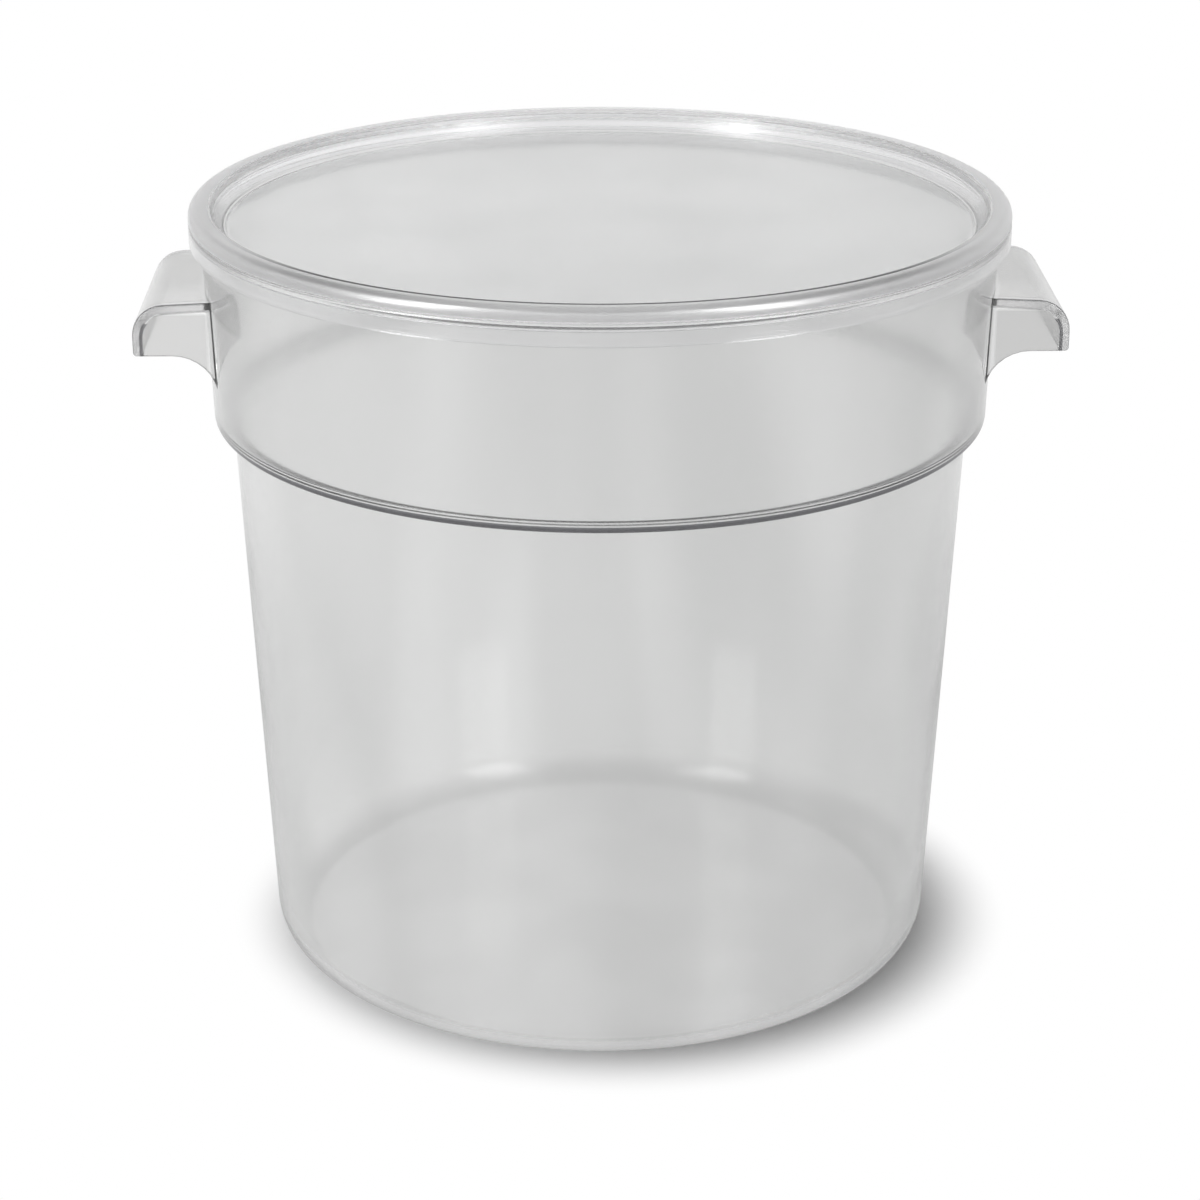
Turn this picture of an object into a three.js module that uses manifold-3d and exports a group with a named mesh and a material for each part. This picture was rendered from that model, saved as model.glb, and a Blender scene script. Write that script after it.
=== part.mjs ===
// A clear, round food storage container with two hood-shaped handles and a loose lid.
// Millimetres, +Z up. The origin is the centre of the resting face, and +X runs through a handle.

import * as THREE from 'three';
import { mergeVertices } from 'three/addons/utils/BufferGeometryUtils.js';
import Module from 'manifold-3d';

// Container: a tapered wall, a shoulder that steps out, and an upper band
const baseRadius = 141.5;
const shoulderRadius = 153.1;
const shoulderHeight = 235.5;
const shoulderLedge = 7.5;
const bandFlare = 2.7;
const wallThickness = 3.0;
const floorThickness = 3.4;
const baseFillet = 16.0;
const floorFillet = 13.0;
const shoulderRootFillet = 2.0;
const shoulderEdgeFillet = 2.6;

// Rim: a flange with a down-turned skirt, open below
const rimHeight = 319.3;
const rimOverhang = 4.7;
const flangeThickness = 3.0;
const skirtHeight = 9.3;
const skirtThickness = 2.8;
const rimEdgeFillet = 1.2;
const channelFillet = 0.6;
const mouthFillet = 1.8;

// Handles: a sloping top plate bent down into a lip, closed at both ends by a gusset
const handleWidth = 86.0;
const handleReach = 28.3;
const handleDrop = 28.4;
const handleFall = 1.7;
const handleLipDepth = 20.8;
const handleThickness = 3.5;
const handleBend = 13.0;
const handleLipFillet = 1.6;
const handleEdgeFillet = 1.0;
const gussetFillet = 18.0;

// Lid: a rounded bead that sits on the rim, and a recessed panel that drops into the mouth
const lidRise = 5.4;
const lidThickness = 2.6;
const lidRecess = 8.6;
const recessRun = 5.8;
const beadOuterFillet = 4.0;
const beadInnerFillet = 2.5;
const panelFillet = 4.0;
const plugFillet = 2.0;
const grooveFillet = 0.8;
const lidEdgeFillet = 0.6;

// Clearances between the lid and the container
const seatGap = 0.3;
const plugClearance = 1.4;

// Fineness of the facets
const turnSegments = 72;
const arcTolerance = 0.09;

// Places that follow from the sizes above
const flangeUnderside = rimHeight - flangeThickness;
const bandRadius = shoulderRadius + shoulderLedge;
const bandTopRadius = bandRadius + bandFlare;
const mouthRadius = bandTopRadius - wallThickness;
const rimRadius = bandTopRadius + rimOverhang;
const lidSeat = rimHeight + seatGap;
const lidTop = lidSeat + lidRise;

const wasm = await Module();
wasm.setup();

// A corner of an outline: where its two sides would meet, and the radius that rounds it
function corner(x, y, radius = 0) {
  return { at: new THREE.Vector2(x, y), radius };
}

// The points of an outline, with each rounded corner drawn as an arc that touches both its sides
function roundOff(corners) {
  return corners.flatMap(({ at, radius }, i) => {
    if (radius === 0) return [at];
    const back = corners[i - 1].at.clone().sub(at).normalize();
    const ahead = corners[i + 1].at.clone().sub(at).normalize();
    const halfAngle = Math.acos(back.dot(ahead)) / 2;
    const toCentre = back.clone().add(ahead).setLength(radius / Math.sin(halfAngle));
    const centre = at.clone().add(toCentre);
    const sweep = (Math.PI - 2 * halfAngle) * Math.sign(ahead.cross(back));
    const arcStep = 2 * Math.acos(1 - Math.min(1, arcTolerance / radius));
    const steps = Math.max(2, Math.round(Math.abs(sweep) / arcStep));
    const spoke = at.clone().addScaledVector(back, radius / Math.tan(halfAngle)).sub(centre);
    const angles = Array.from({ length: steps + 1 }, (_, step) => (sweep * step) / steps);
    return angles.map((angle) => spoke.clone().rotateAround(new THREE.Vector2(), angle).add(centre));
  });
}

// A body of revolution about Z, from an outline of radius and height that starts and ends on the axis
function turned(corners) {
  return new THREE.LatheGeometry(roundOff(corners), turnSegments).rotateX(Math.PI / 2);
}

// A prism across Y, centred on the XZ plane, from an outline of X and Z
function prism(corners, width, edgeFillet = 0) {
  const shape = new THREE.Shape(roundOff(corners));
  const geometry = new THREE.ExtrudeGeometry(shape, {
    depth: width - 2 * edgeFillet,
    bevelEnabled: edgeFillet > 0,
    bevelThickness: edgeFillet,
    bevelSize: edgeFillet,
    bevelOffset: -edgeFillet,
    bevelSegments: 2,
    steps: 1,
  });
  return geometry.translate(0, 0, edgeFillet - width / 2).rotateX(Math.PI / 2);
}

// A closed solid for joining and cutting, without the flat triangles that a lathe leaves on its axis
function toSolid(geometry) {
  geometry.deleteAttribute('normal');
  geometry.deleteAttribute('uv');
  const merged = mergeVertices(geometry);
  const corners = merged.index.array;
  const kept = [];
  for (let i = 0; i < corners.length; i += 3) {
    const [a, b, c] = corners.subarray(i, i + 3);
    if (a !== b && b !== c && c !== a) kept.push(a, b, c);
  }
  const vertProperties = merged.attributes.position.array;
  const triVerts = new Uint32Array(kept);
  return new wasm.Manifold(new wasm.Mesh({ numProp: 3, vertProperties, triVerts }));
}

function toGeometry(solid) {
  const { vertProperties, triVerts } = solid.getMesh();
  const geometry = new THREE.BufferGeometry();
  geometry.setAttribute('position', new THREE.BufferAttribute(vertProperties, 3));
  geometry.setIndex(new THREE.BufferAttribute(triVerts, 1));
  geometry.computeVertexNormals();
  return geometry;
}

// The band's outer radius at a height above the shoulder
function bandRadiusAt(height) {
  return bandRadius + (bandFlare * (height - shoulderHeight)) / (flangeUnderside - shoulderHeight);
}

// The container's turned shell, up the outside and down the inside
function shellSolid() {
  const skirtFoot = rimHeight - skirtHeight;
  const skirtInner = rimRadius - skirtThickness;
  const ledgeInside = shoulderHeight + wallThickness;
  return toSolid(turned([
    corner(0, 0),
    corner(baseRadius, 0, baseFillet),
    corner(shoulderRadius, shoulderHeight, shoulderRootFillet),
    corner(bandRadius, shoulderHeight, shoulderEdgeFillet),
    corner(bandTopRadius, flangeUnderside, channelFillet),
    corner(skirtInner, flangeUnderside, channelFillet),
    corner(skirtInner, skirtFoot, channelFillet),
    corner(rimRadius, skirtFoot, rimEdgeFillet),
    corner(rimRadius, rimHeight, rimEdgeFillet),
    corner(mouthRadius, rimHeight, mouthFillet),
    corner(bandRadius - wallThickness, ledgeInside, shoulderRootFillet),
    corner(shoulderRadius - wallThickness, ledgeInside, shoulderEdgeFillet),
    corner(baseRadius - wallThickness, floorThickness, floorFillet),
    corner(0, floorThickness),
  ]));
}

// All that lies inside the middle of the wall, where a handle's root ends
function wallCore() {
  const inset = wallThickness / 2;
  return toSolid(turned([
    corner(0, inset),
    corner(baseRadius - inset, inset),
    corner(shoulderRadius - inset, shoulderHeight + inset),
    corner(bandRadius - inset, shoulderHeight + inset),
    corner(bandTopRadius - inset, flangeUnderside),
    corner(0, flangeUnderside),
  ]));
}

// One handle, turned about Z to its side of the container
function handleSolid(turn) {
  const top = rimHeight - handleDrop;
  const lipFoot = top - handleLipDepth;
  const lipOuter = bandRadius + handleReach;
  const lipInner = lipOuter - handleThickness;
  const gussetFoot = lipFoot - gussetFillet - wallThickness;
  const gussetRoot = Math.sqrt(bandRadiusAt(gussetFoot) ** 2 - (handleWidth / 2) ** 2);
  const rootEnd = gussetRoot - wallThickness;
  const hood = prism([
    corner(rootEnd, gussetFoot),
    corner(gussetRoot, gussetFoot),
    corner(gussetRoot, lipFoot, gussetFillet),
    corner(lipOuter, lipFoot, handleLipFillet),
    corner(lipOuter, top, handleBend),
    corner(rootEnd, top + handleFall),
  ], handleWidth, handleEdgeFillet);
  const fingerSpace = prism([
    corner(rootEnd, gussetFoot - wallThickness),
    corner(lipInner, gussetFoot - wallThickness),
    corner(lipInner, top - handleThickness, handleBend - handleThickness),
    corner(rootEnd, top + handleFall - handleThickness),
  ], handleWidth - 2 * handleThickness);
  const handle = toSolid(hood.rotateZ(turn)).subtract(toSolid(fingerSpace.rotateZ(turn)));
  return handle.subtract(wallCore());
}

function containerGeometry() {
  const withHandles = [0, Math.PI].reduce((body, turn) => body.add(handleSolid(turn)), shellSolid());
  return toGeometry(withHandles);
}

function lidGeometry() {
  const panelTop = lidTop - lidRecess;
  const panelUnderside = panelTop - lidThickness;
  const grooveTop = lidTop - lidThickness;
  const plugSlope = recessRun / lidRecess;
  const plugRadius = mouthRadius - plugClearance;
  const plugFoot = plugRadius - plugSlope * (lidSeat - panelUnderside);
  const grooveInner = plugRadius + plugSlope * (grooveTop - lidSeat);
  const recessRadius = plugRadius - plugSlope * (lidSeat - panelTop) - lidThickness * Math.hypot(1, plugSlope);
  const grooveOuter = rimRadius - lidThickness;
  return toGeometry(toSolid(turned([
    corner(0, panelUnderside),
    corner(plugFoot, panelUnderside, plugFillet),
    corner(grooveInner, grooveTop, grooveFillet),
    corner(grooveOuter, grooveTop, grooveFillet),
    corner(grooveOuter, lidSeat),
    corner(rimRadius, lidSeat, lidEdgeFillet),
    corner(rimRadius, lidTop, beadOuterFillet),
    corner(recessRadius + recessRun, lidTop, beadInnerFillet),
    corner(recessRadius, panelTop, panelFillet),
    corner(0, panelTop),
  ])));
}

function clearPlastic(color) {
  return new THREE.MeshStandardMaterial({
    color,
    roughness: 0.12,
    metalness: 0,
    transparent: true,
    opacity: 0.4,
  });
}

const storageContainer = new THREE.Group();

const container = new THREE.Mesh(containerGeometry(), clearPlastic(0xcfd4d6));
container.name = 'container_body';
storageContainer.add(container);

const lid = new THREE.Mesh(lidGeometry(), clearPlastic(0xd8dcde));
lid.name = 'lid';
storageContainer.add(lid);

export default storageContainer;
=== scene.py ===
import math

import bmesh
import bpy
from mathutils import Matrix, Vector


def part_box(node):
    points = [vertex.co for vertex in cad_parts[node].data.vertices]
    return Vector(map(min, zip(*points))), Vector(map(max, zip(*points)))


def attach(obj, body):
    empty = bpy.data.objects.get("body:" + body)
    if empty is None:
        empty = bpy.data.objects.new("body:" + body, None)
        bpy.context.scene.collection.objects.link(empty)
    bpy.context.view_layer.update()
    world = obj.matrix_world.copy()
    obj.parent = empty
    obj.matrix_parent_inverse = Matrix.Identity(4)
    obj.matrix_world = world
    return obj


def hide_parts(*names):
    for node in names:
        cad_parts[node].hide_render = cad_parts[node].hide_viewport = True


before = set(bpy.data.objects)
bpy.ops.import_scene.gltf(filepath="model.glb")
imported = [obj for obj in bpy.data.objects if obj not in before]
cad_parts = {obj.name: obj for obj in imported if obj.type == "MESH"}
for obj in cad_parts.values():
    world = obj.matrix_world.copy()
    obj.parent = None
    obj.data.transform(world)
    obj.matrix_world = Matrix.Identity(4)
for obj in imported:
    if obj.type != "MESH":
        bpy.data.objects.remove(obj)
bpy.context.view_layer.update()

# Sizes that the frame gives, in metres
_, LID_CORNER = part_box("lid")
_, BODY_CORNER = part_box("container_body")
RIM_RADIUS = LID_CORNER.x
LID_TOP = LID_CORNER.z
RIM_HEIGHT = BODY_CORNER.z
LIP_OUTER = BODY_CORNER.x

# Container wall
BASE_RADIUS = 0.1415
SHOULDER_RADIUS = 0.1531
SHOULDER_HEIGHT = 0.2355
SHOULDER_LEDGE = 0.0075
BAND_FLARE = 0.0027
WALL = 0.0030
FLOOR_THICKNESS = 0.0034
BASE_FILLET = 0.0160
FLOOR_FILLET = 0.0130
SHOULDER_ROOT_FILLET = 0.0020
SHOULDER_EDGE_FILLET = 0.0026

# Rim
FLANGE_THICKNESS = 0.0030
SKIRT_HEIGHT = 0.0093
SKIRT_THICKNESS = 0.0028
RIM_EDGE_FILLET = 0.0012
CHANNEL_FILLET = 0.0006
MOUTH_FILLET = 0.0018

# Handles
HANDLE_WIDTH = 0.0860
HANDLE_DROP = 0.0284
HANDLE_FALL = 0.0017
HANDLE_LIP_DEPTH = 0.0208
HANDLE_THICKNESS = 0.0035
HANDLE_BEND = 0.0130
HANDLE_LIP_FILLET = 0.0016
HANDLE_EDGE_FILLET = 0.0010
GUSSET_FILLET = 0.0180

# Lid
LID_THICKNESS = 0.0026
LID_RECESS = 0.0086
RECESS_RUN = 0.0058
BEAD_OUTER_FILLET = 0.0040
BEAD_INNER_FILLET = 0.0025
PANEL_FILLET = 0.0040
PLUG_FILLET = 0.0020
GROOVE_FILLET = 0.0008
LID_EDGE_FILLET = 0.0006
SEAT_GAP = 0.0003
PLUG_CLEARANCE = 0.0014

# Places that follow from the sizes above
FLANGE_UNDERSIDE = RIM_HEIGHT - FLANGE_THICKNESS
BAND_RADIUS = SHOULDER_RADIUS + SHOULDER_LEDGE
BAND_TOP_RADIUS = BAND_RADIUS + BAND_FLARE
MOUTH_RADIUS = BAND_TOP_RADIUS - WALL
HANDLE_TOP = RIM_HEIGHT - HANDLE_DROP
LIP_FOOT = HANDLE_TOP - HANDLE_LIP_DEPTH
LIP_INNER = LIP_OUTER - HANDLE_THICKNESS
LID_SEAT = RIM_HEIGHT + SEAT_GAP
PANEL_TOP = LID_TOP - LID_RECESS
PLUG_SLOPE = RECESS_RUN / LID_RECESS
PLUG_RADIUS = MOUTH_RADIUS - PLUG_CLEARANCE
SLOPE_THICKNESS = LID_THICKNESS * math.hypot(1, PLUG_SLOPE)
RECESS_RADIUS = PLUG_RADIUS - PLUG_SLOPE * (LID_SEAT - PANEL_TOP) - SLOPE_THICKNESS
CREST_RADIUS = RECESS_RADIUS + RECESS_RUN
GROOVE_TOP = LID_TOP - LID_THICKNESS
GROOVE_OUTER = RIM_RADIUS - LID_THICKNESS

# Fineness of the meshes
TURN_SEGMENTS = 256
ARC_STEP = math.radians(11)
LEAST_ARC_STEPS = 3
EDGE_STEPS = 4
ROUND_PROFILE = 0.5
SHARP_ANGLE = math.radians(32)
FLAT_WEIGHT = 90
SAME_PLACE = 1e-6

# Tints of the clear plastic
CONTAINER_TINT = (0.88, 0.882, 0.88, 1)
CONTAINER_FLOW_TINT = (0.81, 0.812, 0.81, 1)
LID_TINT = (0.845, 0.85, 0.85, 1)
LID_FLOW_TINT = (0.805, 0.81, 0.81, 1)
# Painted shade: handles greyer and their end plates darker; the border and rim nearly clear, a painted
# lightening
HOOD_SHADE_TINT = (0.745, 0.745, 0.742, 1)
HOOD_END_SHADE_TINT = (0.685, 0.685, 0.682, 1)
HOOD_BORDER_LIGHT_TINT = (0.97, 0.97, 0.97, 1)
RIM_LIGHT_TINT = (0.985, 0.985, 0.99, 1)
DEPTH_TINT = (0.02, 0.02, 0.02, 1)
DEPTH_DENSITY = 3
LAMP_SHADE = (0.45, 0.45, 0.45, 1)

# How far a tinted zone starts beside the face that bounds it
HANDLE_ZONE = 0.0010
HOOD_END_ZONE = 0.0002
SKIRT_ZONE = 0.0004
SKIRT_FOOT_ZONE = 0.0010
PLUG_ZONE = 0.0020
FACE_MARGIN = 0.0005

# Painted shade: dark lines along rounded edges, their tints, and where they lie from their edges
SHOULDER_SHADE_TINT = (0.19, 0.19, 0.2, 1)
SHOULDER_LINE_LOW = 0.0001
SHOULDER_LINE_FADE = 0.0028
SHOULDER_LINE_HIGH = 0.0033
SHOULDER_LINE_DEPTH = 0.0019
CREST_SHADE_TINT = (0.05, 0.05, 0.055, 1)
CREST_LINE_DEPTH = 0.0006
CREST_LINE_INNER = 0.0003
CREST_LINE_OUTER = 0.0027
CREST_LINE_FULL_Y = -0.125
CREST_LINE_END_Y = -0.05
HOOD_EDGE_SHADE_TINT = (0.3, 0.3, 0.31, 1)
HOOD_LINE_NEAR = 0.0002
HOOD_LINE_FAR = 0.0009
HOOD_LINE_LOW = 0.0010
LIP_SHADE_TINT = (0.08, 0.08, 0.085, 1)
LIP_LINE_HALF = 0.0007
LIP_LINE_DEPTH = 0.0012
LIP_LINE_RISE = 0.0060
SHADE_LINE_METALLIC = 0.9

# Finish of the clear plastic
PLASTIC_IOR = 1.58
LOWER_HAZE = 0.065
UPPER_HAZE = 0.12
HAZE_RUN = 0.02
BEAD_HAZE = 0.26
BEAD_COAT_ROUGHNESS = 0.3
BEAD_COAT_IOR = 2.4
CLOUD_SCALE = 9.0
CLOUD_HAZE = 0.02
FLOW_STRETCH = (1, 1, 0.25)
FLOW_SCALE = 15.0
FLOW_LOW = 0.36
FLOW_HIGH = 0.64
SCUFF_SCALE = 60.0
SCUFF_DETAIL = 6.0
SCUFF_GRAIN = 0.7
SCUFF_LOW = 0.58
SCUFF_HIGH = 0.78
SCUFF_HAZE = 0.04
WAVE_SCALE = 14.0
WAVE_STRENGTH = 0.12
WAVE_DEPTH = 0.002

# Floor, lifted a hair above the resting face so that the two faces don't fall together
FLOOR_RADIUS = 3.0
FLOOR_SEGMENTS = 96
FLOOR_LIFT = 0.0002
FLOOR_COLOUR = (0.92, 0.92, 0.92, 1)
FLOOR_ROUGHNESS = 0.55
FLOOR_GRAIN_SCALE = 220.0
FLOOR_GRAIN = 0.1
FLOOR_SPECULAR = 0.1

# Contact shadow on the floor: its middle, and where it starts to fade and has gone
SHADOW_CENTRE = (0.0095, 0.0045, 0)
SHADOW_CORE = 0.1205
SHADOW_REACH = 0.1725

# The floor as the plastic shows it: white, with painted shade greyer at right and behind the middle, and
# painted shade grey in near reflections
WHITE = (1, 1, 1, 1)
GREY_STRENGTH = 0.86
GREY_SIDE = 0.25
GREY_BEHIND = 0.14
GREY_MIDDLE = 0.02
GREY_MIDDLE_END = 0.05
MIRROR_STRENGTH = 0.6
MIRROR_NEAR = 0.35
MIRROR_FAR = 0.75
UNDER_NEAR = 0.06
UNDER_FAR = 0.13
UNDER_WHITE = 0.76
UNDER_WHITE_FAR = 0.73

# Backdrop: white to this height of view, greyer overhead, and dim as a light
BACKDROP_TOP = 0.25
OVERHEAD_START = 0.7
OVERHEAD_STRENGTH = 0.72
ROOM_STRENGTH = 0.12

# Light bounces, enough to get through all the walls
LIGHT_BOUNCES = 32
GLOSS_BOUNCES = 24

# Camera, as the photograph was taken
PHOTO_SIDE = 1200
FOCAL_PIXELS = 3200
SENSOR = 36.0
CAMERA_DISTANCE = 1.282
CAMERA_HEIGHT = 0.647
CAMERA_PITCH = math.radians(21.31)
CAMERA_SWING = math.radians(-1.2)


# Meshes

def round_off(corners):
    """The points of an outline whose corners (x, z, radius) are rounded by arcs."""
    points = []
    for i, (x, z, *rounding) in enumerate(corners):
        at = Vector((x, z))
        if not rounding:
            points.append(at)
            continue
        radius = rounding[0]
        back = (Vector(corners[i - 1][:2]) - at).normalized()
        ahead = (Vector(corners[i + 1][:2]) - at).normalized()
        half_angle = back.angle(ahead) / 2
        centre = at + (back + ahead).normalized() * (radius / math.sin(half_angle))
        spoke = at + back * (radius / math.tan(half_angle)) - centre
        sweep = math.copysign(math.pi - 2 * half_angle, ahead.cross(back))
        steps = max(LEAST_ARC_STEPS, round(abs(sweep) / ARC_STEP))
        for step in range(steps + 1):
            points.append(centre + Matrix.Rotation(sweep * step / steps, 2) @ spoke)
    return points


def new_object(name, mesh_data):
    """An object in the scene from a finished bmesh."""
    bmesh.ops.recalc_face_normals(mesh_data, faces=mesh_data.faces)
    mesh = bpy.data.meshes.new(name)
    mesh_data.to_mesh(mesh)
    mesh_data.free()
    made = bpy.data.objects.new(name, mesh)
    bpy.context.scene.collection.objects.link(made)
    return made


def turned(name, corners):
    """A body of revolution about Z, from an outline that starts and ends on the axis."""
    work = bmesh.new()
    turns = [math.tau * i / TURN_SEGMENTS for i in range(TURN_SEGMENTS)]
    rings = []
    for radius, height in round_off(corners):
        if radius < SAME_PLACE:
            rings.append([work.verts.new((0, 0, height))] * TURN_SEGMENTS)
            continue
        rings.append([work.verts.new((radius * math.cos(t), radius * math.sin(t), height)) for t in turns])
    for lower, upper in zip(rings, rings[1:]):
        for i in range(TURN_SEGMENTS):
            j = (i + 1) % TURN_SEGMENTS
            loop = dict.fromkeys((lower[i], lower[j], upper[j], upper[i]))
            work.faces.new(loop)
    return new_object(name, work)


def prism(name, corners, width, edge_fillet, turn):
    """A prism across Y from an outline in X and Z, with rounded ends, turned about Z."""
    work = bmesh.new()
    outline = [work.verts.new((x, -width / 2, z)) for x, z in round_off(corners)]
    near = work.faces.new(outline)
    swept = bmesh.ops.extrude_face_region(work, geom=[near])["geom"]
    far_verts = [item for item in swept if isinstance(item, bmesh.types.BMVert)]
    bmesh.ops.translate(work, verts=far_verts, vec=(0, width, 0))
    end_edges = [e for e in work.edges if abs(e.verts[0].co.y - e.verts[1].co.y) < SAME_PLACE]
    bmesh.ops.bevel(work, geom=end_edges, offset=edge_fillet, segments=EDGE_STEPS, profile=ROUND_PROFILE,
                    affect="EDGES")
    bmesh.ops.transform(work, matrix=Matrix.Rotation(turn, 4, "Z"), verts=work.verts)
    return new_object(name, work)


def combine(target, tool, operation):
    """Joins a tool body to target, or cuts target with it, and drops the tool."""
    step = target.modifiers.new("combine", "BOOLEAN")
    step.operation = operation
    step.solver = "EXACT"
    step.object = tool
    settle(target)
    bpy.data.objects.remove(tool)


def settle(target):
    """Writes what an object's modifiers give into its mesh."""
    ready = target.evaluated_get(bpy.context.evaluated_depsgraph_get())
    mesh = bpy.data.meshes.new_from_object(ready)
    target.modifiers.clear()
    target.data = mesh


def polish(target):
    """Smooth faces with crisp corners, and flats that stay flat beside their fillets."""
    target.data.shade_smooth()
    target.data.set_sharp_from_angle(angle=SHARP_ANGLE)
    weighted = target.modifiers.new("flats stay flat", "WEIGHTED_NORMAL")
    weighted.keep_sharp = True
    weighted.weight = FLAT_WEIGHT
    settle(target)


def container_wall():
    """The container's turned shell, up the outside and down the inside."""
    skirt_foot = RIM_HEIGHT - SKIRT_HEIGHT
    skirt_inner = RIM_RADIUS - SKIRT_THICKNESS
    ledge_inside = SHOULDER_HEIGHT + WALL
    return turned("container", [
        (0, 0),
        (BASE_RADIUS, 0, BASE_FILLET),
        (SHOULDER_RADIUS, SHOULDER_HEIGHT, SHOULDER_ROOT_FILLET),
        (BAND_RADIUS, SHOULDER_HEIGHT, SHOULDER_EDGE_FILLET),
        (BAND_TOP_RADIUS, FLANGE_UNDERSIDE, CHANNEL_FILLET),
        (skirt_inner, FLANGE_UNDERSIDE, CHANNEL_FILLET),
        (skirt_inner, skirt_foot, CHANNEL_FILLET),
        (RIM_RADIUS, skirt_foot, RIM_EDGE_FILLET),
        (RIM_RADIUS, RIM_HEIGHT, RIM_EDGE_FILLET),
        (MOUTH_RADIUS, RIM_HEIGHT, MOUTH_FILLET),
        (BAND_RADIUS - WALL, ledge_inside, SHOULDER_ROOT_FILLET),
        (SHOULDER_RADIUS - WALL, ledge_inside, SHOULDER_EDGE_FILLET),
        (BASE_RADIUS - WALL, FLOOR_THICKNESS, FLOOR_FILLET),
        (0, FLOOR_THICKNESS),
    ])


def wall_core():
    """All that lies inside the middle of the wall, where a handle's root ends."""
    inset = WALL / 2
    return turned("wall_core", [
        (0, inset),
        (BASE_RADIUS - inset, inset),
        (SHOULDER_RADIUS - inset, SHOULDER_HEIGHT + inset),
        (BAND_RADIUS - inset, SHOULDER_HEIGHT + inset),
        (BAND_TOP_RADIUS - inset, FLANGE_UNDERSIDE),
        (0, FLANGE_UNDERSIDE),
    ])


def handle(turn):
    """A hood: a top plate bent down into a lip, with a gusset at each end."""
    gusset_foot = LIP_FOOT - GUSSET_FILLET - WALL
    gusset_rise = (gusset_foot - SHOULDER_HEIGHT) / (FLANGE_UNDERSIDE - SHOULDER_HEIGHT)
    gusset_root = math.sqrt((BAND_RADIUS + BAND_FLARE * gusset_rise) ** 2 - (HANDLE_WIDTH / 2) ** 2)
    root_end = gusset_root - WALL
    hood = prism("hood", [
        (root_end, gusset_foot),
        (gusset_root, gusset_foot),
        (gusset_root, LIP_FOOT, GUSSET_FILLET),
        (LIP_OUTER, LIP_FOOT, HANDLE_LIP_FILLET),
        (LIP_OUTER, HANDLE_TOP, HANDLE_BEND),
        (root_end, HANDLE_TOP + HANDLE_FALL),
    ], HANDLE_WIDTH, HANDLE_EDGE_FILLET, turn)
    finger_space = prism("finger_space", [
        (root_end, gusset_foot - WALL),
        (LIP_INNER, gusset_foot - WALL),
        (LIP_INNER, HANDLE_TOP - HANDLE_THICKNESS, HANDLE_BEND - HANDLE_THICKNESS),
        (root_end, HANDLE_TOP + HANDLE_FALL - HANDLE_THICKNESS),
    ], HANDLE_WIDTH - 2 * HANDLE_THICKNESS, HANDLE_EDGE_FILLET, turn)
    combine(hood, finger_space, "DIFFERENCE")
    combine(hood, wall_core(), "DIFFERENCE")
    return hood


def make_container():
    container = container_wall()
    for turn in (0, math.pi):
        combine(container, handle(turn), "UNION")
    polish(container)
    return container


def make_lid():
    panel_underside = PANEL_TOP - LID_THICKNESS
    plug_foot = PLUG_RADIUS - PLUG_SLOPE * (LID_SEAT - panel_underside)
    groove_inner = PLUG_RADIUS + PLUG_SLOPE * (GROOVE_TOP - LID_SEAT)
    lid = turned("drop_on_lid", [
        (0, panel_underside),
        (plug_foot, panel_underside, PLUG_FILLET),
        (groove_inner, GROOVE_TOP, GROOVE_FILLET),
        (GROOVE_OUTER, GROOVE_TOP, GROOVE_FILLET),
        (GROOVE_OUTER, LID_SEAT),
        (RIM_RADIUS, LID_SEAT, LID_EDGE_FILLET),
        (RIM_RADIUS, LID_TOP, BEAD_OUTER_FILLET),
        (CREST_RADIUS, LID_TOP, BEAD_INNER_FILLET),
        (RECESS_RADIUS, PANEL_TOP, PANEL_FILLET),
        (0, PANEL_TOP),
    ])
    polish(lid)
    return lid


# Shading

class Value:
    """A socket whose arithmetic adds Math nodes."""

    def __init__(self, wiring, socket):
        self.wiring = wiring
        self.socket = socket

    def math(self, operation, first, second):
        return self.wiring.node("ShaderNodeMath", {"operation": operation}, {0: first, 1: second})

    def __add__(self, other):
        return self.math("ADD", self, other)

    def __sub__(self, other):
        return self.math("SUBTRACT", self, other)

    def __rsub__(self, other):
        return self.math("SUBTRACT", other, self)

    def __mul__(self, other):
        return self.math("MULTIPLY", self, other)

    def __gt__(self, other):
        return self.math("GREATER_THAN", self, other)

    def __lt__(self, other):
        return self.math("LESS_THAN", self, other)

    def root(self):
        return self.math("SQRT", self, 0)

    def absolute(self):
        return self.math("ABSOLUTE", self, 0)

    def at_least(self, other):
        return self.math("MAXIMUM", self, other)

    def between(self, low, high):
        """One where the value lies between low and high, and none elsewhere."""
        return (self > low) * (self < high)

    __radd__ = __add__
    __rmul__ = __mul__


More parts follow.
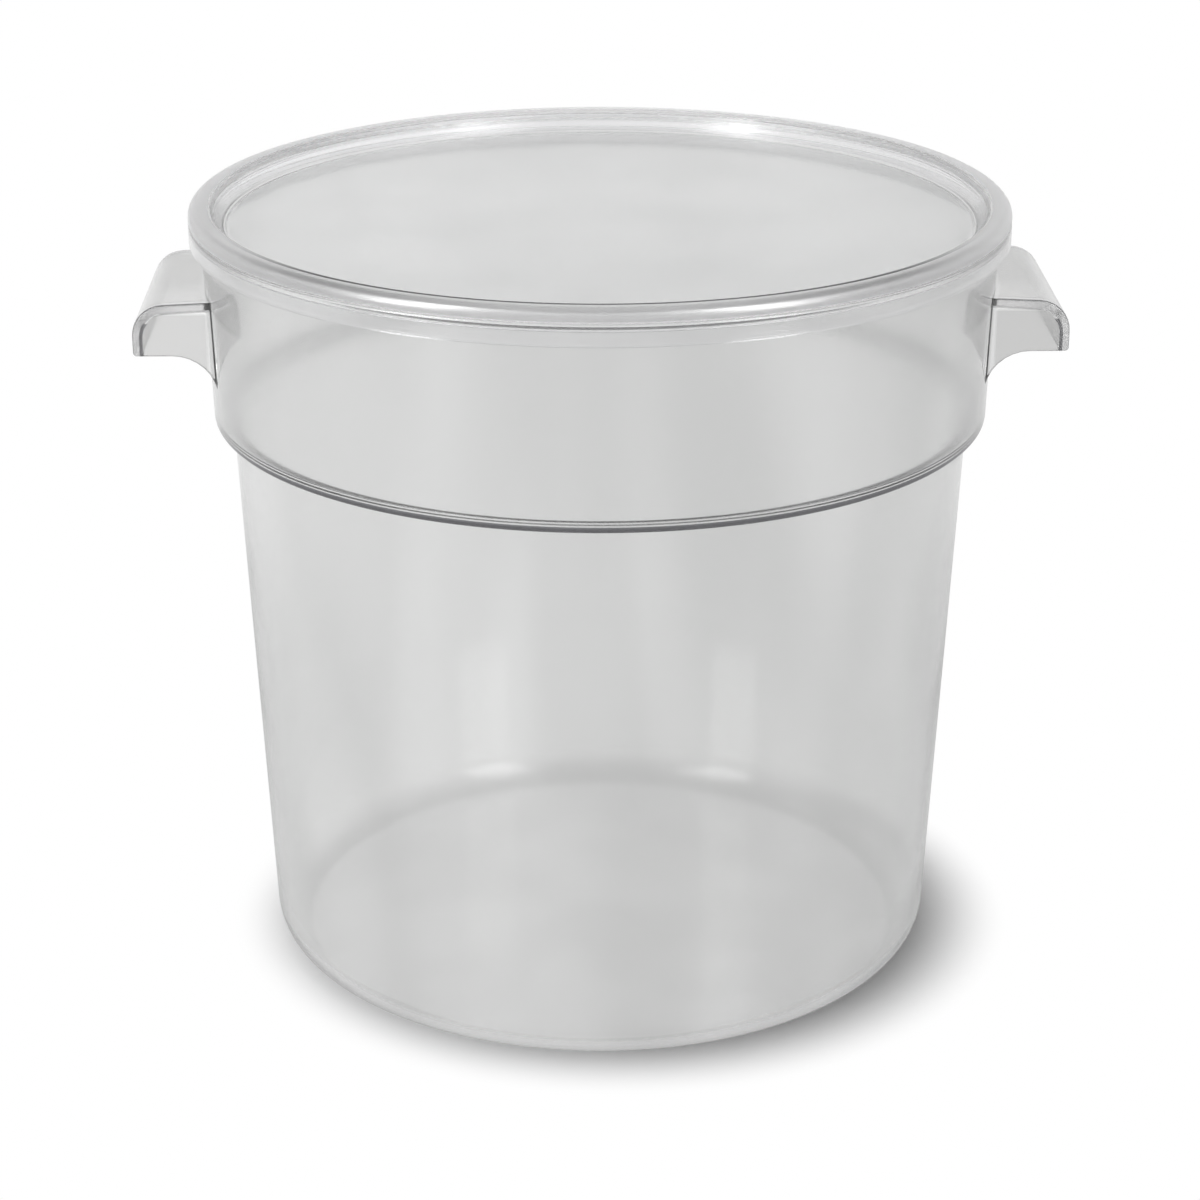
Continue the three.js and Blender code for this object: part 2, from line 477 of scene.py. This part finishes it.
class Wiring:
    """A node tree that is being wired."""

    def __init__(self, tree):
        self.tree = tree
        tree.nodes.clear()

    def node(self, kind, settings=None, sockets=None, output=0):
        """Adds a node, sets it up, feeds its sockets and gives one of its outputs."""
        made = self.tree.nodes.new(kind)
        for name, setting in (settings or {}).items():
            setattr(made, name, setting)
        for name, feed in (sockets or {}).items():
            if isinstance(feed, Value):
                self.tree.links.new(feed.socket, made.inputs[name])
            else:
                made.inputs[name].default_value = feed
        return Value(self, made.outputs[output]) if made.outputs else made

    def part(self, vector, axis):
        return self.node("ShaderNodeSeparateXYZ", {}, {0: vector}, output=axis)

    def stretch(self, vector, factors):
        return self.node("ShaderNodeVectorMath", {"operation": "MULTIPLY"}, {0: vector, 1: factors})

    def noise(self, place, scale, detail=2.0, grain=0.5):
        return self.node("ShaderNodeTexNoise", {}, {
            "Vector": place, "Scale": scale, "Detail": detail, "Roughness": grain,
        })

    def fade(self, value, start, end, before, after, kind="SMOOTHSTEP"):
        """Passes from before to after while the value goes from start to end."""
        return self.node("ShaderNodeMapRange", {"interpolation_type": kind}, {
            "Value": value, "From Min": start, "From Max": end, "To Min": before, "To Max": after,
        })

    def blend(self, factor, first, second):
        """The first colour where the factor is none, and the second where it is one."""
        return self.node("ShaderNodeMix", {"data_type": "RGBA"}, {
            "Factor": factor, 6: first, 7: second,
        }, output=2)

    def choose(self, factor, first, second):
        """The first shader where the factor is none, and the second where it is one."""
        return self.node("ShaderNodeMixShader", {}, {0: factor, 1: first, 2: second})

    def glow(self, strength):
        return self.node("ShaderNodeEmission", {}, {"Color": WHITE, "Strength": strength})

    def light_path(self, ray):
        return self.node("ShaderNodeLightPath", output=ray)

    def seen_through_plastic(self):
        """One for what shows through the plastic or in a reflection, and none for light on the floor."""
        bent = self.light_path("Is Transmission Ray").at_least(self.light_path("Is Glossy Ray"))
        return bent * (self.light_path("Diffuse Depth") < 1)

    def seen_mirrored(self):
        """One for what shows in a reflection."""
        return self.light_path("Is Glossy Ray") * (1 - self.light_path("Is Transmission Ray"))


class ClearPlastic(Wiring):
    """Clear moulded plastic: a faint uneven grey tint, a slow moulding wave, and fine scuffs from use."""

    def __init__(self, name, tint, flow_tint):
        self.material = bpy.data.materials.new(name)
        self.material.use_nodes = True
        super().__init__(self.material.node_tree)
        self.place = self.node("ShaderNodeTexCoord", output="Object")
        self.height = self.part(self.place, "Z")
        from_axis = self.stretch(self.place, (1, 1, 0))
        self.radius = self.node("ShaderNodeVectorMath", {"operation": "LENGTH"}, {0: from_axis},
                                output="Value")
        streaks = self.noise(self.stretch(self.place, FLOW_STRETCH), FLOW_SCALE, detail=1.0)
        flow = self.fade(streaks, FLOW_LOW, FLOW_HIGH, 0.0, 1.0)
        self.clear = self.blend(flow, tint, flow_tint)

    def finish(self, colour, shade_line, haze, coat):
        """The finished material, metallic on its painted dark shade lines and with a gloss coat where coat
        says.
        """
        cloud = self.noise(self.place, CLOUD_SCALE)
        worn = self.noise(self.place, SCUFF_SCALE, SCUFF_DETAIL, SCUFF_GRAIN)
        scuffs = self.fade(worn, SCUFF_LOW, SCUFF_HIGH, 0.0, 1.0, kind="LINEAR")
        wave = self.noise(self.place, WAVE_SCALE, detail=1.0)
        surface = self.node("ShaderNodeBump", {}, {
            "Strength": WAVE_STRENGTH, "Distance": WAVE_DEPTH, "Height": wave,
        })
        plastic = self.node("ShaderNodeBsdfPrincipled", {}, {
            "Base Color": colour,
            "Metallic": SHADE_LINE_METALLIC * shade_line,
            "Roughness": haze + SCUFF_HAZE * scuffs + CLOUD_HAZE * cloud,
            "Normal": surface,
            "IOR": PLASTIC_IOR,
            "Transmission Weight": 1.0,
            "Coat Weight": coat,
            "Coat Roughness": BEAD_COAT_ROUGHNESS,
            "Coat IOR": BEAD_COAT_IOR,
        })
        lets_lamps_through = self.node("ShaderNodeBsdfTransparent", {}, {"Color": LAMP_SHADE})
        depth = self.node("ShaderNodeVolumeAbsorption", {}, {"Color": DEPTH_TINT, "Density": DEPTH_DENSITY})
        self.node("ShaderNodeOutputMaterial", {}, {
            "Surface": self.choose(self.light_path("Is Shadow Ray"), plastic, lets_lamps_through),
            "Volume": depth,
        })
        return self.material


def make_container_plastic():
    """The container's plastic: handles painted greyer, a rim painted paler, and painted shade as dark lines
    on shoulder and handles.
    """
    plastic = ClearPlastic("clear container plastic", CONTAINER_TINT, CONTAINER_FLOW_TINT)
    radius = plastic.radius
    height = plastic.height
    along = plastic.part(plastic.place, "X").absolute()
    aside = plastic.part(plastic.place, "Y").absolute()

    # Handles, greyer as painted shade: the top plate, its end plates darker still, and the border between
    # them nearly clear as a painted lightening
    end_outside = HANDLE_WIDTH / 2
    end_inside = end_outside - HANDLE_THICKNESS
    in_handle = (radius > BAND_TOP_RADIUS + HANDLE_ZONE) * (height < FLANGE_UNDERSIDE - SKIRT_HEIGHT)
    on_border = (height > HANDLE_TOP - HANDLE_THICKNESS).at_least(along > LIP_INNER)
    end = plastic.blend(on_border, HOOD_END_SHADE_TINT, HOOD_BORDER_LIGHT_TINT)
    hood = plastic.blend(aside > end_inside - HOOD_END_ZONE, HOOD_SHADE_TINT, end)
    colour = plastic.blend(in_handle, plastic.clear, hood)

    # Painted shade: dark lines along the end plates' outer and inner edges
    outer_edge = aside.between(end_outside - HOOD_LINE_FAR, end_outside - HOOD_LINE_NEAR)
    inner_edge = aside.between(end_inside - HOOD_LINE_FAR, end_inside - HOOD_LINE_NEAR)
    hood_edge_shade = in_handle * (height > LIP_FOOT + HOOD_LINE_LOW) * (outer_edge + inner_edge)
    colour = plastic.blend(hood_edge_shade, colour, HOOD_EDGE_SHADE_TINT)

    # Painted shade: a dark line up the lip and round its bend, on the end plates
    bend_height = HANDLE_TOP - HANDLE_BEND
    inner_bend = HANDLE_BEND - HANDLE_THICKNESS
    past_bend = (along - (LIP_OUTER - HANDLE_BEND)).at_least(0)
    above_bend = (height - bend_height).at_least(0)
    from_bend = (past_bend * past_bend + above_bend * above_bend).root()
    round_bend = from_bend.between(inner_bend - LIP_LINE_HALF, inner_bend + LIP_LINE_HALF)
    on_end = (aside > end_outside - LIP_LINE_DEPTH) * (height < bend_height + LIP_LINE_RISE)
    colour = plastic.blend(in_handle * on_end * round_bend, colour, LIP_SHADE_TINT)

    # Rim, painted nearly clear as a painted lightening
    skirt_low = RIM_HEIGHT - SKIRT_HEIGHT - SKIRT_FOOT_ZONE
    in_skirt = (radius > BAND_TOP_RADIUS + SKIRT_ZONE) * (height > skirt_low)
    on_flange = (radius > MOUTH_RADIUS - FACE_MARGIN) * (height > FLANGE_UNDERSIDE - FACE_MARGIN)
    colour = plastic.blend(in_skirt.at_least(on_flange), colour, RIM_LIGHT_TINT)

    # Painted shade: a dark line along the shoulder's lower edge
    fade_start = SHOULDER_HEIGHT + SHOULDER_LINE_FADE
    near_ledge = plastic.fade(height, fade_start, SHOULDER_HEIGHT + SHOULDER_LINE_HIGH, 1.0, 0.0)
    on_edge = (height > SHOULDER_HEIGHT + SHOULDER_LINE_LOW) * (radius > BAND_RADIUS - SHOULDER_LINE_DEPTH)
    shade_line = near_ledge * on_edge
    colour = plastic.blend(shade_line, colour, SHOULDER_SHADE_TINT)

    haze = plastic.fade(height, SHOULDER_HEIGHT - HAZE_RUN, SHOULDER_HEIGHT + HAZE_RUN,
                        LOWER_HAZE, UPPER_HAZE)
    return plastic.finish(colour, shade_line, haze, coat=0.0)


def make_lid_plastic():
    """The lid's plastic: a bead painted pale, hazier and with a gloss coat, and painted shade as a dark
    line on its crest in front.
    """
    plastic = ClearPlastic("clear lid plastic", LID_TINT, LID_FLOW_TINT)
    radius = plastic.radius
    height = plastic.height
    # The recess edge and bead painted nearly clear, a painted lightening
    colour = plastic.blend(radius > RECESS_RADIUS - PLUG_ZONE, plastic.clear, RIM_LIGHT_TINT)

    # Painted shade: a dark line on the crest, on the front half only
    on_crest = radius.between(CREST_RADIUS + CREST_LINE_INNER, CREST_RADIUS + CREST_LINE_OUTER)
    front = plastic.fade(plastic.part(plastic.place, "Y"), CREST_LINE_FULL_Y, CREST_LINE_END_Y, 1.0, 0.0)
    shade_line = (height > LID_TOP - CREST_LINE_DEPTH) * on_crest * front
    colour = plastic.blend(shade_line, colour, CREST_SHADE_TINT)

    above_seat = height > LID_SEAT
    on_bead = (radius > MOUTH_RADIUS - FACE_MARGIN) * above_seat
    outer_skin = (radius > GROOVE_OUTER + FACE_MARGIN).at_least(height > GROOVE_TOP + FACE_MARGIN)
    coat = above_seat * (radius > CREST_RADIUS) * outer_skin * (1 - shade_line)
    return plastic.finish(colour, shade_line, UPPER_HAZE + BEAD_HAZE * on_bead, coat)


def dress(piece, material, body, node):
    piece.data.materials.clear()
    piece.data.materials.append(material)
    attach(piece, body)
    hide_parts(node)


# Studio

def make_floor():
    """A pale floor that takes the container's shadow and fades into a white backdrop."""
    work = bmesh.new()
    bmesh.ops.create_circle(work, cap_ends=True, radius=FLOOR_RADIUS, segments=FLOOR_SEGMENTS)
    floor = new_object("floor", work)
    floor.location.z = FLOOR_LIFT
    material = bpy.data.materials.new("pale floor")
    material.use_nodes = True
    wiring = Wiring(material.node_tree)
    place = wiring.node("ShaderNodeTexCoord", output="Object")
    away = wiring.node("ShaderNodeVectorMath", {"operation": "DISTANCE"}, {0: place, 1: SHADOW_CENTRE},
                       output="Value")
    across = wiring.part(place, "X")
    through = wiring.seen_through_plastic()

    grain = wiring.noise(place, FLOOR_GRAIN_SCALE)
    matt = wiring.node("ShaderNodeBsdfPrincipled", {}, {
        "Base Color": FLOOR_COLOUR,
        "Roughness": FLOOR_ROUGHNESS + FLOOR_GRAIN * grain,
        "Specular IOR Level": FLOOR_SPECULAR,
    })

    # Painted shade: the floor seen through the plastic greyer to the right and behind the middle
    right = wiring.fade(across, -GREY_SIDE, GREY_SIDE, 0.0, 1.0)
    middle = wiring.fade(across.absolute(), GREY_MIDDLE, GREY_MIDDLE_END, 1.0, 0.0)
    behind = wiring.part(place, "Y") > GREY_BEHIND
    side_shade = through * right.at_least(behind * middle)
    backdrop = wiring.choose(side_shade, wiring.glow(1.0), wiring.glow(GREY_STRENGTH))
    # Painted shade: reflections of the floor near the container grey
    near_shade = wiring.fade(away, MIRROR_NEAR, MIRROR_FAR, 1.0, 0.0)
    lit = wiring.choose(wiring.seen_mirrored() * near_shade, backdrop, wiring.glow(MIRROR_STRENGTH))

    past_shadow = wiring.fade(away, SHADOW_CORE, SHADOW_REACH, 0.0, 1.0)
    under = wiring.fade(away, UNDER_NEAR, UNDER_FAR, UNDER_WHITE, UNDER_WHITE_FAR)
    seen = through.at_least(wiring.light_path("Is Camera Ray"))
    surface = wiring.choose(seen * past_shadow.at_least(through * under), matt, lit)
    wiring.node("ShaderNodeOutputMaterial", {}, {"Surface": surface})
    floor.data.materials.append(material)


def make_world():
    """Soft studio light: white where the backdrop is, grey overhead."""
    world = bpy.data.worlds.new("studio")
    bpy.context.scene.world = world
    world.use_nodes = True
    wiring = Wiring(world.node_tree)
    height = wiring.part(wiring.node("ShaderNodeTexCoord", output="Generated"), "Z")
    overhead = wiring.fade(height, BACKDROP_TOP, OVERHEAD_START, 1.0, OVERHEAD_STRENGTH)
    camera = wiring.light_path("Is Camera Ray")
    through = wiring.seen_through_plastic()
    strength = camera + (1 - camera) * (through * overhead + (1 - through) * ROOM_STRENGTH)
    light = wiring.node("ShaderNodeBackground", {}, {"Color": WHITE, "Strength": strength})
    wiring.node("ShaderNodeOutputWorld", {}, {"Surface": light})


def make_lamp(name, place, aim, width, height, power, mirrored):
    """A softbox that either lights matt surfaces or shows in reflections and through the plastic."""
    lamp = bpy.data.lights.new(name, "AREA")
    lamp.shape = "RECTANGLE"
    lamp.size = width
    lamp.size_y = height
    lamp.energy = power
    made = bpy.data.objects.new(name, lamp)
    made.location = place
    made.rotation_euler = (Vector(aim) - Vector(place)).to_track_quat("-Z", "Y").to_euler()
    made.visible_diffuse = not mirrored
    made.visible_glossy = mirrored
    made.visible_transmission = mirrored
    bpy.context.scene.collection.objects.link(made)


def make_camera():
    camera = bpy.data.cameras.new("photo camera")
    camera.sensor_width = SENSOR
    camera.lens = SENSOR * FOCAL_PIXELS / PHOTO_SIDE
    made = bpy.data.objects.new("photo camera", camera)
    made.location = (CAMERA_DISTANCE * math.sin(CAMERA_SWING), -CAMERA_DISTANCE * math.cos(CAMERA_SWING),
                     CAMERA_HEIGHT)
    made.rotation_euler = (math.pi / 2 - CAMERA_PITCH, 0, CAMERA_SWING)
    bpy.context.scene.collection.objects.link(made)
    bpy.context.scene.camera = made


container = make_container()
dress(container, make_container_plastic(), "container", "container_body")

lid = make_lid()
dress(lid, make_lid_plastic(), "lid", "lid")

make_floor()
make_world()
make_lamp("overhead softbox", place=(-0.28, 0.22, 4.6), aim=(0, 0, 0.1), width=0.9, height=0.9,
          power=190, mirrored=False)
make_lamp("left softbox", place=(-1.290, -0.950, 1.2), aim=(0, 0, 0.25), width=0.60, height=1.7,
          power=16.5, mirrored=True)
make_lamp("right softbox", place=(1.111, -1.151, 1.2), aim=(0, 0, 0.25), width=0.62, height=1.7,
          power=14.5, mirrored=True)
make_camera()

bpy.context.scene.view_settings.view_transform = "Standard"
bpy.context.scene.cycles.max_bounces = LIGHT_BOUNCES
bpy.context.scene.cycles.glossy_bounces = GLOSS_BOUNCES
bpy.context.scene.cycles.transmission_bounces = LIGHT_BOUNCES
